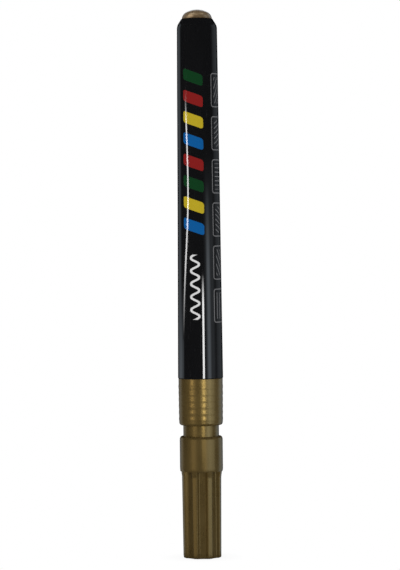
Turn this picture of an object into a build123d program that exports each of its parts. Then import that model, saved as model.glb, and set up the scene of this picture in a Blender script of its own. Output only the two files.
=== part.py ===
"""Valve-action paint marker, standing on its cap.

The pen's axis is Z, with the flat end of the cap at height 0 and the tail at the top.
Radii grow outwards from the nib, and heights stack upwards from the cap's end, so each
piece takes its size and place from the pieces that it fits. All lengths are millimetres.
"""

import os

from build123d import *

# Fits, as radial clearances
PRESS_FIT = 0.03
SLIDE_FIT = 0.08
CUT_OVERRUN = 1.0

# Nib, a fibre rod with a bullet point
NIB_RADIUS = 1.5
NIB_POINT_LENGTH = 2.2
NIB_TIP_RADIUS = 0.75
NIB_TIP_ROUND = 0.6
NIB_SIDE_ROUND = 4.0
NIB_EXPOSED = 5.5
PRESS_TRAVEL = 1.2

# Overflow wadding round the nib, and the slotted bush behind it
WADDING_THICKNESS = 0.6
GUIDE_LENGTH = 5.5
GUIDE_SLOT_COUNT = 3
GUIDE_SLOT_WIDTH = 0.8
GUIDE_RING_LENGTH = 1.2

# Nose of the grip section, which holds the nib
NOSE_BORE_LENGTH = 4.0
NOSE_TIP_WALL = 0.62
NOSE_WALL = 0.7
NOSE_TAPER_LENGTH = 3.0
NOSE_LENGTH = 10.5
NOSE_SHOULDER_WIDTH = 1.65
NOSE_SHOULDER_LENGTH = 1.0

# Neck of the grip section, which the cap slides over
NECK_ENGAGED = 5.1
NECK_EXPOSED = 2.8
NECK_BEAD_HEIGHT = 0.05
NECK_BEAD_LENGTH = 0.9
NECK_BEAD_DEPTH = 1.9

# Ringed grip, and the spigot that plugs into the barrel
GRIP_STEP = 1.0
GRIP_DRAFT = 0.1
GRIP_LENGTH = 11.95
GRIP_EDGE_ROUND = 0.75
GRIP_RING_COUNT = 6
GRIP_RING_HEIGHT = 0.04
GRIP_FRONT_LAND = 0.8
GRIP_REAR_LAND = 1.3
SPIGOT_WALL = 1.1
SPIGOT_LENGTH = 9.75
SPIGOT_LEAD_IN = 0.4

# Valve
STEM_RADIUS = 0.9
PAINT_GAP = 0.4
SEAT_THICKNESS = 1.6
SEAT_GAP = 0.05
NIB_REAR_GAP = 0.4
HEAD_OVERLAP = 0.8
HEAD_RIM = 0.5
CAGE_GAP = 0.6
CAGE_WALL = 0.8
CAGE_LENGTH = 14.0
CAGE_TOP = 3.0
CAGE_PORT_COUNT = 4
CAGE_PORT_RADIUS = 0.5
STEM_END_GAP = 0.3
SPRING_WIRE_RADIUS = 0.18
SPRING_GAP = 0.3
SPRING_TURNS = 7

# Cap and its liner
LINER_GAP = 0.22
LINER_WALL = 0.45
LINER_FLOOR = 0.6
LINER_END_GAP = 0.2
LINER_LIP_LENGTH = 1.2
LINER_FLANGE = 0.6
LINER_FLANGE_GAP = 0.5
NIB_TIP_ROOM = 6.2
CAP_FLOOR = 2.0
CAP_WALL = 0.6
CAP_DRAFT = 0.18
CAP_END_ROUND = 0.5
COLLAR_WALL = 0.86
COLLAR_LEDGE = 1.2
COLLAR_RAMP_LENGTH = 2.0
COLLAR_EDGE_ROUND = 0.7
COLLAR_LEAD_IN = 0.1
FLUTE_COUNT = 8
FIRST_FLUTE_ANGLE = -88.2
FLUTE_DEPTH = 0.81
FLUTE_WIDTH = 2.75
FLUTE_FLOOR_WIDTH = 1.55
FLUTE_CORNER_ROUND = 0.3
FLUTE_END_DROP = 0.55

# Barrel, its printed film and the tail plug
BARREL_WALL = 1.0
BARREL_LENGTH = 91.7
BARREL_TAPER = 0.64
BARREL_MOUTH_RELIEF = 1.0
SHOULDER_DROP = 1.11
SHOULDER_LENGTH = 1.75
SHOULDER_ROUND = 0.6
SLEEVE_FILM = 0.1
SLEEVE_SETBACK = 0.15
PLUG_SEAT_LENGTH = 5.0
PLUG_LIP = 0.75
PLUG_WALL = 0.9
PLUG_SPIGOT_LENGTH = 4.6
DOME_INSET = 0.08
DOME_HEIGHT = 2.45
DOME_ROUND_SHARE = 0.8

# Mixing balls, loose in the reservoir
BALL_RADIUS = 1.75
BALL_GAP = 0.05

# Radii, from the nib outwards
nib_bore = NIB_RADIUS + SLIDE_FIT
wadding_radius = nib_bore + WADDING_THICKNESS
chamber_radius = wadding_radius + PRESS_FIT
nose_tip_radius = nib_bore + NOSE_TIP_WALL
nose_radius = chamber_radius + NOSE_WALL
neck_radius = nose_radius + NOSE_SHOULDER_WIDTH
grip_front_radius = neck_radius + GRIP_STEP

liner_lip_radius = nose_radius + SLIDE_FIT
liner_bore = nose_radius + LINER_GAP
liner_radius = liner_bore + LINER_WALL
cap_core_radius = liner_radius + PRESS_FIT
flute_floor_radius = cap_core_radius + CAP_WALL
ridge_end_radius = flute_floor_radius + FLUTE_DEPTH
ridge_top_radius = ridge_end_radius + CAP_DRAFT
cap_mouth_radius = neck_radius + SLIDE_FIT
collar_radius = cap_mouth_radius + COLLAR_WALL

seat_hole_radius = STEM_RADIUS + PAINT_GAP
head_radius = seat_hole_radius + HEAD_OVERLAP
cage_bore = head_radius + CAGE_GAP
cage_radius = cage_bore + CAGE_WALL
cage_guide_radius = STEM_RADIUS + SLIDE_FIT
spring_radius = STEM_RADIUS + SPRING_GAP + SPRING_WIRE_RADIUS
valve_bore = cage_radius + PRESS_FIT
spigot_radius = valve_bore + SPIGOT_WALL

barrel_mouth_radius = spigot_radius + PRESS_FIT
barrel_front_radius = barrel_mouth_radius + BARREL_WALL
barrel_rear_radius = barrel_front_radius - BARREL_TAPER
barrel_rim_radius = barrel_rear_radius - SHOULDER_DROP
dome_radius = barrel_rim_radius - DOME_INSET
plug_radius = barrel_rim_radius - PLUG_LIP
tail_bore = plug_radius + PRESS_FIT

# Heights, from the cap's end upwards
liner_end = CAP_FLOOR + LINER_END_GAP
liner_floor_top = liner_end + LINER_FLOOR
nib_tip = liner_floor_top + NIB_TIP_ROOM
nose_end = nib_tip + NIB_EXPOSED
nose_top = nose_end + NOSE_LENGTH
neck_bottom = nose_top + NOSE_SHOULDER_LENGTH
cap_mouth = neck_bottom + NECK_ENGAGED
grip_bottom = cap_mouth + NECK_EXPOSED
grip_top = grip_bottom + GRIP_LENGTH
spigot_top = grip_top + SPIGOT_LENGTH

# The valve lies flush with the spigot's end, and the wadding fills what is left in front of it.
cage_top = spigot_top
cage_ceiling = cage_top - CAGE_TOP
seat_top = cage_top - CAGE_LENGTH
seat_bottom = seat_top - SEAT_THICKNESS
guide_front = seat_bottom - GUIDE_LENGTH
wadding_front = nose_end + NOSE_BORE_LENGTH
nib_rear = seat_bottom - PRESS_TRAVEL - NIB_REAR_GAP
stem_top = cage_top - PRESS_TRAVEL - STEM_END_GAP

liner_top = nose_top - LINER_FLANGE_GAP
cap_ledge = liner_top - LINER_FLANGE
collar_bottom = cap_ledge - COLLAR_LEDGE
ramp_bottom = collar_bottom - COLLAR_RAMP_LENGTH

# The head's cone is at 45 degrees, and stands clear of the seat's rim by SEAT_GAP.
head_cone_bottom = seat_top + SEAT_GAP - PAINT_GAP
head_cone_top = head_cone_bottom + PAINT_GAP + HEAD_OVERLAP
head_top = head_cone_top + HEAD_RIM

barrel_rim = grip_top + BARREL_LENGTH
shoulder_bottom = barrel_rim - SHOULDER_LENGTH
barrel_mouth_end = spigot_top + BARREL_MOUTH_RELIEF
plug_seat_bottom = barrel_rim - PLUG_SEAT_LENGTH
dome_top = barrel_rim + DOME_HEIGHT


def barrel_outside(height):
    """The barrel's outer radius at a height below its rear shoulder."""
    along = (height - grip_top) / (shoulder_bottom - grip_top)
    return barrel_front_radius - BARREL_TAPER * along


def grip_outside(height):
    """The grip's outer radius at a height, between its rings."""
    return grip_front_radius + GRIP_DRAFT * (height - grip_bottom) / GRIP_LENGTH


def turned(*edges):
    """A solid turned about the pen's axis from a closed outline of edges in the XZ plane."""
    return revolve(make_face(edges), Axis.Z)


def outline(*points, close=False):
    """Straight edges through points of (radius, height)."""
    return Polyline(*[(radius, 0, height) for radius, height in points], close=close)


def arc(start, middle, end):
    """A round edge through three points of (radius, height)."""
    return ThreePointArc(*[(radius, 0, height) for radius, height in (start, middle, end)])


def tube(inner, outer, bottom, top):
    """A plain ring between two radii and two heights."""
    return turned(outline((inner, bottom), (outer, bottom), (outer, top), (inner, top), close=True))


def rod(radius, bottom, top):
    """A plain cylinder between two heights."""
    return Pos(0, 0, bottom) * Cylinder(radius, top - bottom, align=(Align.CENTER, Align.CENTER, Align.MIN))


def rim(solid, radius, height):
    """The round edge of a turned solid that lies nearest to this radius and height."""
    circles = solid.edges().filter_by(GeomType.CIRCLE)
    return min(circles, key=lambda edge: abs(edge.radius - radius) + abs(edge.arc_center.Z - height))


def flute_cutter():
    """What one of the cap's flutes takes away: a flat floor, rounded corners and walls that open out."""
    flute_top = collar_bottom - FLUTE_END_DROP
    reach = FLUTE_DEPTH + CUT_OVERRUN
    opening = FLUTE_FLOOR_WIDTH + (FLUTE_WIDTH - FLUTE_FLOOR_WIDTH) * reach / FLUTE_DEPTH
    section = make_face(
        Polyline(
            (flute_floor_radius, -FLUTE_FLOOR_WIDTH / 2),
            (flute_floor_radius + reach, -opening / 2),
            (flute_floor_radius + reach, opening / 2),
            (flute_floor_radius, FLUTE_FLOOR_WIDTH / 2),
            close=True,
        )
    )
    section = fillet(section.vertices().group_by(Axis.X)[0], FLUTE_CORNER_ROUND)
    return Pos(0, 0, -CUT_OVERRUN) * extrude(section, flute_top + CUT_OVERRUN, dir=(0, 0, 1))


def cap_shell():
    """The fluted cap, with a plain collar round its mouth and a stepped bore for the liner."""
    shell = turned(
        outline(
            (0, 0),
            (ridge_end_radius, 0),
            (ridge_top_radius, ramp_bottom),
            (collar_radius, collar_bottom),
            (collar_radius, cap_mouth),
            (cap_mouth_radius, cap_mouth),
            (cap_mouth_radius, cap_ledge),
            (cap_core_radius, cap_ledge),
            (cap_core_radius, CAP_FLOOR),
            (0, CAP_FLOOR),
            close=True,
        )
    )
    shell = fillet(rim(shell, ridge_end_radius, 0), CAP_END_ROUND)
    shell = fillet(rim(shell, collar_radius, cap_mouth), COLLAR_EDGE_ROUND)
    shell = chamfer(rim(shell, cap_mouth_radius, cap_mouth), COLLAR_LEAD_IN)
    cutter = flute_cutter()
    places = PolarLocations(0, FLUTE_COUNT, FIRST_FLUTE_ANGLE)
    return shell - [place * cutter for place in places]


def inner_cap():
    """The soft liner: a cup with a lip that closes round the nose and a flange on the cap's ledge."""
    flange_radius = cap_mouth_radius - PRESS_FIT
    lip_bottom = liner_top - LINER_LIP_LENGTH
    return turned(
        outline(
            (0, liner_end),
            (liner_radius, liner_end),
            (liner_radius, cap_ledge),
            (flange_radius, cap_ledge),
            (flange_radius, liner_top),
            (liner_lip_radius, liner_top),
            (liner_lip_radius, lip_bottom),
            (liner_bore, lip_bottom),
            (liner_bore, liner_floor_top),
            (0, liner_floor_top),
            close=True,
        )
    )


def grip_rings():
    """The outline of the grip's rounded rings, from the front land to the rear land."""
    first = grip_bottom + GRIP_FRONT_LAND
    pitch = (GRIP_LENGTH - GRIP_FRONT_LAND - GRIP_REAR_LAND) / GRIP_RING_COUNT
    rings = []
    for ring in range(GRIP_RING_COUNT):
        bottom = first + ring * pitch
        middle = bottom + pitch / 2
        top = bottom + pitch
        crest = grip_outside(middle) + GRIP_RING_HEIGHT
        rings.append(arc((grip_outside(bottom), bottom), (crest, middle), (grip_outside(top), top)))
    last = grip_top - GRIP_REAR_LAND
    return rings, (grip_outside(first), first), (grip_outside(last), last)


def grip_section():
    """Nose, neck, ringed grip and spigot in one moulding, with a stepped bore from front to rear."""
    bead_middle = cap_mouth - NECK_BEAD_DEPTH
    bead_bottom = bead_middle - NECK_BEAD_LENGTH / 2
    bead_top = bead_middle + NECK_BEAD_LENGTH / 2
    rings, rings_start, rings_end = grip_rings()
    front = outline(
        (nib_bore, nose_end),
        (nose_tip_radius, nose_end),
        (nose_radius, nose_end + NOSE_TAPER_LENGTH),
        (nose_radius, nose_top),
        (neck_radius, neck_bottom),
        (neck_radius, bead_bottom),
    )
    bead = arc(
        (neck_radius, bead_bottom), (neck_radius + NECK_BEAD_HEIGHT, bead_middle), (neck_radius, bead_top)
    )
    step = outline(
        (neck_radius, bead_top), (neck_radius, grip_bottom), (grip_front_radius, grip_bottom), rings_start
    )
    rear = outline(
        rings_end,
        (grip_outside(grip_top), grip_top),
        (spigot_radius, grip_top),
        (spigot_radius, spigot_top),
        (valve_bore, spigot_top),
        (valve_bore, seat_bottom),
        (chamber_radius, seat_bottom),
        (chamber_radius, wadding_front),
        (nib_bore, wadding_front),
        (nib_bore, nose_end),
    )
    section = turned(front, bead, step, *rings, rear)
    section = fillet(rim(section, grip_front_radius, grip_bottom), GRIP_EDGE_ROUND)
    return chamfer(rim(section, spigot_radius, spigot_top), SPIGOT_LEAD_IN)


def nib():
    """The fibre rod, with a bullet point: a cone whose edges are rounded."""
    cone_top = nib_tip + NIB_POINT_LENGTH
    fibre = turned(
        outline(
            (0, nib_tip),
            (NIB_TIP_RADIUS, nib_tip),
            (NIB_RADIUS, cone_top),
            (NIB_RADIUS, nib_rear),
            (0, nib_rear),
            close=True,
        )
    )
    fibre = fillet(rim(fibre, NIB_RADIUS, cone_top), NIB_SIDE_ROUND)
    return fillet(rim(fibre, NIB_TIP_RADIUS, nib_tip), NIB_TIP_ROUND)


def overflow_wadding():
    """The fibre sleeve in the chamber behind the nose."""
    return tube(nib_bore, wadding_radius, wadding_front, guide_front)


def nib_guide():
    """The bush round the rear of the nib, slotted from its rear end so that paint runs past."""
    bush = tube(nib_bore, wadding_radius, guide_front, seat_bottom)
    slot_length = GUIDE_LENGTH - GUIDE_RING_LENGTH
    slot = Box(
        wadding_radius + CUT_OVERRUN,
        GUIDE_SLOT_WIDTH,
        slot_length + CUT_OVERRUN,
        align=(Align.MIN, Align.CENTER, Align.MIN),
    )
    slot_bottom = Pos(0, 0, seat_bottom - slot_length)
    return bush - [slot_bottom * turn * slot for turn in PolarLocations(0, GUIDE_SLOT_COUNT)]


def valve_seat():
    """The rubber washer that the stem's head closes."""
    return tube(seat_hole_radius, cage_radius, seat_bottom, seat_top)


def valve_stem():
    """The plunger: a front rod on the nib, a conical head, and a rear rod in the cage's guide."""
    return turned(
        outline(
            (0, nib_rear),
            (STEM_RADIUS, nib_rear),
            (STEM_RADIUS, head_cone_bottom),
            (head_radius, head_cone_top),
            (head_radius, head_top),
            (STEM_RADIUS, head_top),
            (STEM_RADIUS, stem_top),
            (0, stem_top),
            close=True,
        )
    )


def valve_cage():
    """The cup over the spring, with a guide for the stem and ports for paint in its top."""
    cage = turned(
        outline(
            (cage_bore, seat_top),
            (cage_radius, seat_top),
            (cage_radius, cage_top),
            (cage_guide_radius, cage_top),
            (cage_guide_radius, cage_ceiling),
            (cage_bore, cage_ceiling),
            close=True,
        )
    )
    port_circle = (cage_guide_radius + cage_bore) / 2
    port = rod(CAGE_PORT_RADIUS, cage_ceiling - CUT_OVERRUN, cage_top + CUT_OVERRUN)
    return cage - [place * port for place in PolarLocations(port_circle, CAGE_PORT_COUNT)]


def valve_spring():
    """The wire spring between the stem's head and the cage's ceiling, with both ends ground flat."""
    length = cage_ceiling - head_top
    path = Pos(0, 0, head_top) * Helix(length / SPRING_TURNS, length, spring_radius)
    wire = sweep(Plane(path @ 0, z_dir=path % 0) * Circle(SPRING_WIRE_RADIUS), path, is_frenet=True)
    return wire & tube(0, cage_bore, head_top, cage_ceiling)


def barrel():
    """The tapered reservoir tube, open at the front, with a seat for the plug in its rear end."""
    bore_front = barrel_outside(barrel_mouth_end) - BARREL_WALL
    bore_rear = barrel_outside(plug_seat_bottom) - BARREL_WALL
    body = turned(
        outline(
            (barrel_mouth_radius, grip_top),
            (barrel_front_radius, grip_top),
            (barrel_rear_radius, shoulder_bottom),
            (barrel_rim_radius, barrel_rim),
            (tail_bore, barrel_rim),
            (tail_bore, plug_seat_bottom),
            (bore_rear, plug_seat_bottom),
            (bore_front, barrel_mouth_end),
            (barrel_mouth_radius, barrel_mouth_end),
            close=True,
        )
    )
    return fillet(rim(body, barrel_rear_radius, shoulder_bottom), SHOULDER_ROUND)


def print_sleeve():
    """The printed film round the barrel, drawn in over its rear shoulder."""
    inside = PRESS_FIT
    outside = PRESS_FIT + SLEEVE_FILM
    front = grip_top + SLEEVE_SETBACK
    front_radius = barrel_outside(front)
    film = turned(
        outline(
            (front_radius + inside, front),
            (front_radius + outside, front),
            (barrel_rear_radius + outside, shoulder_bottom),
            (barrel_rim_radius + outside, barrel_rim),
            (barrel_rim_radius + inside, barrel_rim),
            (barrel_rear_radius + inside, shoulder_bottom),
            close=True,
        )
    )
    film = fillet(rim(film, barrel_rear_radius + inside, shoulder_bottom), SHOULDER_ROUND)
    return fillet(rim(film, barrel_rear_radius + outside, shoulder_bottom), SHOULDER_ROUND)


def dome_edges():
    """The dome's outline: a tight arc up from its foot that runs into a flatter arc over its crown."""
    side_round = DOME_ROUND_SHARE * DOME_HEIGHT
    inset = dome_radius - side_round
    crown_round = (DOME_HEIGHT**2 + inset**2 - side_round**2) / (2 * (DOME_HEIGHT - side_round))
    crown_middle = dome_top - crown_round
    reach = crown_round / (crown_round - side_round)
    joint = (inset * reach, 0, crown_middle + (barrel_rim - crown_middle) * reach)
    side = TangentArc((dome_radius, 0, barrel_rim), joint, tangent=(0, 0, 1))
    crown = TangentArc(joint, (0, 0, dome_top), tangent=side % 1)
    return side, crown


def tail_plug():
    """The domed button on the barrel's rim, with a hollow spigot in the barrel's tail."""
    spigot_bottom = barrel_rim - PLUG_SPIGOT_LENGTH
    bore_radius = plug_radius - PLUG_WALL
    foot = outline(
        (0, dome_top),
        (0, barrel_rim),
        (bore_radius, barrel_rim),
        (bore_radius, spigot_bottom),
        (plug_radius, spigot_bottom),
        (plug_radius, barrel_rim),
        (dome_radius, barrel_rim),
    )
    return turned(foot, *dome_edges())


def mixing_ball(side):
    """A loose ball at rest on the valve cage, to one side of the axis."""
    return Pos(side * (BALL_RADIUS + BALL_GAP), 0, cage_top + BALL_GAP + BALL_RADIUS) * Sphere(BALL_RADIUS)


PIECES = {
    "cap_shell": cap_shell(),
    "inner_cap": inner_cap(),
    "grip_section": grip_section(),
    "nib": nib(),
    "overflow_wadding": overflow_wadding(),
    "nib_guide": nib_guide(),
    "valve_seat": valve_seat(),
    "valve_stem": valve_stem(),
    "valve_spring": valve_spring(),
    "valve_cage": valve_cage(),
    "barrel": barrel(),
    "print_sleeve": print_sleeve(),
    "tail_plug": tail_plug(),
    "mixing_ball_1": mixing_ball(-1),
    "mixing_ball_2": mixing_ball(1),
}

os.makedirs("parts", exist_ok=True)
for node, piece in PIECES.items():
    export_step(piece, f"parts/{node}.step")
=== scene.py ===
from math import atan2, ceil, cos, exp, pi, radians, sin, tan

import bmesh
import bpy
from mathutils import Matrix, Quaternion, Vector


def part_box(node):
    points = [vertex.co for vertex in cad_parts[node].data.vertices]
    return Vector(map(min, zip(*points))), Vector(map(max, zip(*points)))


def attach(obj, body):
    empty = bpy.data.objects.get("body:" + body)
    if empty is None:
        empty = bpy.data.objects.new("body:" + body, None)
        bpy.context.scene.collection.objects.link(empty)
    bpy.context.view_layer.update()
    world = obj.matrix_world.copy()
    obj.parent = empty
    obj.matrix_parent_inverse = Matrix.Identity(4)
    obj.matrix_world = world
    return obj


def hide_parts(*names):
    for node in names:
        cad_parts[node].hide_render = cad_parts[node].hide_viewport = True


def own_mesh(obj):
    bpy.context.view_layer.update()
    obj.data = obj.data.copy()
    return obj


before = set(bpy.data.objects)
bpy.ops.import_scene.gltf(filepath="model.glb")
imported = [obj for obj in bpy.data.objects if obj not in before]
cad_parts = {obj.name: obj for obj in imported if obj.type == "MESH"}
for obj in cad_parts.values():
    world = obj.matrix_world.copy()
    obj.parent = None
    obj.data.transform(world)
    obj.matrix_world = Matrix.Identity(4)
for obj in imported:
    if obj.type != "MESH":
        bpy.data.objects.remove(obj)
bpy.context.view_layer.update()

# Looks of a paint marker that stands on its cap. Lengths are metres. A point of a turned piece is
# (radius, height), with heights up the marker's axis from the end of the cap. Angles run round the
# axis from the front, -Y, towards the right, +X.

MM = 0.001
FULL_TURN = 2 * pi


def extent(node):
    """A solid's largest radius, lowest height and highest height."""
    low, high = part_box(node)
    return high.x, low.z, high.z


# Meshing
EASE_STEPS = 6
DOME_STEPS = 12
SUPPORT = 0.03 * MM
SHORTEST_DIVIDED = 4 * SUPPORT
EDGE_EASE = 0.06 * MM
SOFT_EASE = 2 * EDGE_EASE
WIDE_EASE = 4 * EDGE_EASE
WALL_SEGMENTS = 192
SMALL_SEGMENTS = 96
OUTSIDE_SPACING = 0.45 * MM
FILM_SPACING = 0.8 * MM
CAP_SPACING = 1.5 * MM
FLUTE_SPACING = 0.3 * MM
INSIDE_SPACING = 3 * MM
JOIN_DISTANCE = 0.001 * MM

# Cap and its liner
COLLAR_RADIUS, CAP_END, CAP_MOUTH = extent("cap_shell")
CAP_FLOOR = CAP_END + 2 * MM
CAP_CORE_RADIUS = 3.61 * MM
CAP_LEDGE = CAP_MOUTH - 7.2 * MM
CAP_MOUTH_RADIUS = COLLAR_RADIUS - 0.86 * MM
COLLAR_BOTTOM = CAP_MOUTH - 8.4 * MM
RAMP_BOTTOM = CAP_MOUTH - 10.4 * MM
RIDGE_END_RADIUS = 5.02 * MM
RIDGE_TOP_RADIUS = 5.2 * MM
CAP_END_EASE = 0.5 * MM
COLLAR_EDGE_WIDTH = 0.7 * MM
COLLAR_EDGE_HEIGHT = 1 * MM
COLLAR_FOOT_EASE = 0.35 * MM
RAMP_FOOT_EASE = 0.2 * MM
CAP_MOUTH_EASE = 0.1 * MM
FLUTE_COUNT = 8
FIRST_FLUTE_ANGLE = radians(1.8)
FLUTE_FLOOR_RADIUS = 4.21 * MM
FLUTE_TOP = COLLAR_BOTTOM - 0.55 * MM
FLUTE_TOP_RADIUS = 5.4175 * MM
FLUTE_DEPTH = 0.81 * MM
FLUTE_WIDTH = 2.75 * MM
FLUTE_FLOOR_WIDTH = 1.55 * MM
FLUTE_CORNER_EASE = 0.16 * MM
FLUTE_EDGE_EASE = 0.2 * MM
LINER_FLANGE_RADIUS, LINER_END, LINER_TOP = extent("inner_cap")
LINER_RADIUS = 3.58 * MM
LINER_BORE = 3.13 * MM
LINER_LIP_RADIUS = 2.99 * MM
LINER_FLOOR_TOP = LINER_END + 0.6 * MM
LINER_LIP_BOTTOM = LINER_TOP - 1.2 * MM
LINER_FLANGE_BOTTOM = LINER_TOP - 0.6 * MM

# Grip section, from the nose that holds the nib to the spigot inside the barrel
NOSE_END, SPIGOT_TOP = extent("grip_section")[1:]
NIB_BORE = 1.58 * MM
NOSE_TIP_RADIUS = 2.2 * MM
NOSE_RADIUS = 2.91 * MM
NOSE_TAPER_TOP = NOSE_END + 3 * MM
NOSE_TOP = NOSE_END + 10.5 * MM
NECK_RADIUS = 4.56 * MM
NECK_BOTTOM = NOSE_TOP + 1 * MM
NECK_BEAD_HEIGHT = 29.2 * MM
NECK_BEAD_HALF = 0.45 * MM
NECK_BEAD_RISE = 0.05 * MM
GRIP_BOTTOM = SPIGOT_TOP - 21.7 * MM
GRIP_TOP = SPIGOT_TOP - 9.75 * MM
GRIP_FRONT_RADIUS = 5.56 * MM
GRIP_REAR_RADIUS = 5.66 * MM
GRIP_EDGE_EASE = 0.8 * MM
RING_COUNT = 6
RING_RISE = 0.05 * MM
RINGS_BOTTOM = GRIP_BOTTOM + 0.8 * MM
RINGS_TOP = GRIP_TOP - 1.3 * MM
SPIGOT_RADIUS = 4.63 * MM
VALVE_BORE = 3.53 * MM
VALVE_SEAT_BOTTOM = SPIGOT_TOP - 15.6 * MM
CHAMBER_RADIUS = 2.21 * MM
WADDING_FRONT = NOSE_END + 4 * MM

# Nib and the valve's spring
NIB_RADIUS, NIB_TIP, NIB_REAR = extent("nib")
NIB_TIP_RADIUS = 0.75 * MM
NIB_TIP_EASE = 0.5 * MM
NIB_POINT_TOP = NIB_TIP + 2.2 * MM
NIB_SIDE_EASE = 1 * MM

# Printed film and tail plug. Each wave of the film's slack has its count round the film, how far it
# turns over one slack length, and its start.
FILM_FRONT_RADIUS, FILM_FRONT, FILM_RIM = extent("print_sleeve")
FILM_THICKNESS = 0.1 * MM
FILM_EDGE_EASE = FILM_THICKNESS / 3
FILM_SHOULDER = FILM_RIM - 1.75 * MM
FILM_SHOULDER_RADIUS = 5.15 * MM
FILM_RIM_RADIUS = 4.04 * MM
FILM_SHOULDER_EASE = 0.8 * MM
FILM_SLACK = 0.035 * MM
FILM_SLACK_LENGTH = 9 * MM
FILM_SLACK_WAVES = ((2, 0.8, 0), (3, -0.5, 1.3))
FILM_SEAM_ANGLE = radians(172)
FILM_SEAM_HALF = 1.6 * MM
FILM_SEAM_EASE = 0.25 * MM
FILM_GATHER_COUNT = 17
FILM_GATHER_DEPTH = 0.03 * MM
FILM_GATHER_LENGTH = 2.2 * MM
FILM_GATHER_STRAY = 2
FILM_GATHER_STRAY_COUNT = 3
DOME_RADIUS, PLUG_END, DOME_TOP = extent("tail_plug")
DOME_ROUND_SHARE = 0.8
PLUG_SPIGOT_RADIUS = 3.16 * MM
PLUG_BORE = 2.26 * MM


def around(radius, angle, height):
    """A point round the axis."""
    return radius * sin(angle), -radius * cos(angle), height


def eased(corners):
    """Points of a closed outline with rounded corners.

    Each corner is (radius, height, ease before it, ease after it), or has one ease for both.
    """
    points = []
    for place, (radius, height, *eases) in enumerate(corners):
        corner = Vector((radius, height))
        if eases[0] == 0:
            points.append(corner)
            continue
        before = Vector(corners[place - 1][:2])
        after = Vector(corners[(place + 1) % len(corners)][:2])
        start = corner + (before - corner).normalized() * eases[0]
        end = corner + (after - corner).normalized() * eases[-1]
        for step in range(EASE_STEPS + 1):
            share = step / EASE_STEPS
            points.append(
                start * (1 - share) ** 2 + corner * 2 * share * (1 - share) + end * share ** 2
            )
    return points


def spread(points, spacing):
    """A run of points with its long stretches divided, and supported close to their ends."""
    dense = []
    for start, end in zip(points, points[1:]):
        dense.append(start)
        length = (end - start).length
        if length < SHORTEST_DIVIDED:
            continue
        along = (end - start) / length
        dense.append(start + along * SUPPORT)
        parts = ceil((length - 2 * SUPPORT) / spacing)
        for part in range(1, parts):
            dense.append(start + along * (SUPPORT + (length - 2 * SUPPORT) * part / parts))
        dense.append(end - along * SUPPORT)
    dense.append(points[-1])
    return dense


def placed(name, data):
    """A new object in the scene."""
    item = bpy.data.objects.new(name, data)
    bpy.context.scene.collection.objects.link(item)
    return item


def sheet(rows):
    """A mesh under construction: an open sheet through rows of points."""
    shell = bmesh.new()
    lines = [[shell.verts.new(point) for point in row] for row in rows]
    for lower, upper in zip(lines, lines[1:]):
        for place in range(len(lower) - 1):
            shell.faces.new((lower[place], lower[place + 1], upper[place + 1], upper[place]))
    return shell


def built(name, shell):
    """An object from a mesh under construction."""
    mesh = bpy.data.meshes.new(name)
    shell.to_mesh(mesh)
    shell.free()
    return placed(name, mesh)


def turned(name, points, segments, relief=None, relief_rows=0):
    """A closed smooth piece turned from an outline.

    Relief gives how far out each point of the first rows moves.
    """
    shell = bmesh.new()
    rings = []
    for row, (radius, height) in enumerate(points):
        if radius == 0:
            rings.append([shell.verts.new((0, 0, height))])
            continue
        ring = []
        for step in range(segments):
            angle = FULL_TURN * step / segments
            out = radius + (relief(height, angle) if row < relief_rows else 0)
            ring.append(shell.verts.new(around(out, angle, height)))
        rings.append(ring)
    for lower, upper in zip(rings, rings[1:] + rings[:1]):
        if len(lower) == 1 and len(upper) == 1:
            continue
        for step in range(segments):
            following = (step + 1) % segments
            corners = [lower[step % len(lower)], lower[following % len(lower)]]
            corners += [upper[following % len(upper)], upper[step % len(upper)]]
            shell.faces.new(dict.fromkeys(corners))
    bmesh.ops.recalc_face_normals(shell, faces=shell.faces)
    piece = built(name, shell)
    piece.data.shade_smooth()
    return piece


def stand_for(piece, node, body, material):
    """Gives a piece its finish and its body, and puts it in a solid's place."""
    piece.data.materials.clear()
    piece.data.materials.append(material)
    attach(piece, body)
    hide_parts(node)
    return piece


# Nodes
FLOAT = "NodeSocketFloat"
VECTOR = "NodeSocketVector"
GEOMETRY = "NodeSocketGeometry"
MIX_COLOUR_INPUTS = (0, 6, 7)
MIX_COLOUR_OUTPUT = 2


class Signal:
    """A value that a node gives. Each sum made with it is a Math node."""

    def __init__(self, socket):
        self.socket = socket
        self.tree = socket.id_data

    def __add__(self, other):
        return calculate("ADD", self, other)

    def __sub__(self, other):
        return calculate("SUBTRACT", self, other)

    def __mul__(self, other):
        return calculate("MULTIPLY", self, other)

    def __truediv__(self, other):
        return calculate("DIVIDE", self, other)

    def __abs__(self):
        return calculate("ABSOLUTE", self)


def tree_of(values):
    """The node tree of the signals among some values."""
    return next(value.tree for value in values if isinstance(value, Signal))


def feed(socket, value):
    """Links a signal to an input, or sets the input to a plain value."""
    if isinstance(value, Signal):
        value.tree.links.new(value.socket, socket)
    else:
        socket.default_value = value


def add_node(kind, inputs, tree=None):
    """A new node, by its signals or in a tree, with inputs fed by name or by number."""
    node = (tree or tree_of(inputs.values())).nodes.new(kind)
    for key, value in inputs.items():
        feed(node.inputs[key], value)
    return node


def result(kind, inputs, tree=None):
    """The first output of a new node."""
    return Signal(add_node(kind, inputs, tree).outputs[0])


def signals(node):
    """A node's outputs by name."""
    return {socket.name: Signal(socket) for socket in node.outputs}


def calculate(operation, *values):
    """The result of a Math node."""
    node = tree_of(values).nodes.new("ShaderNodeMath")
    node.operation = operation
    for socket, value in zip(node.inputs, values):
        feed(socket, value)
    return signals(node)["Value"]


def largest(first, *others):
    """The largest of some values."""
    for other in others:
        first = calculate("MAXIMUM", first, other)
    return first


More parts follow.
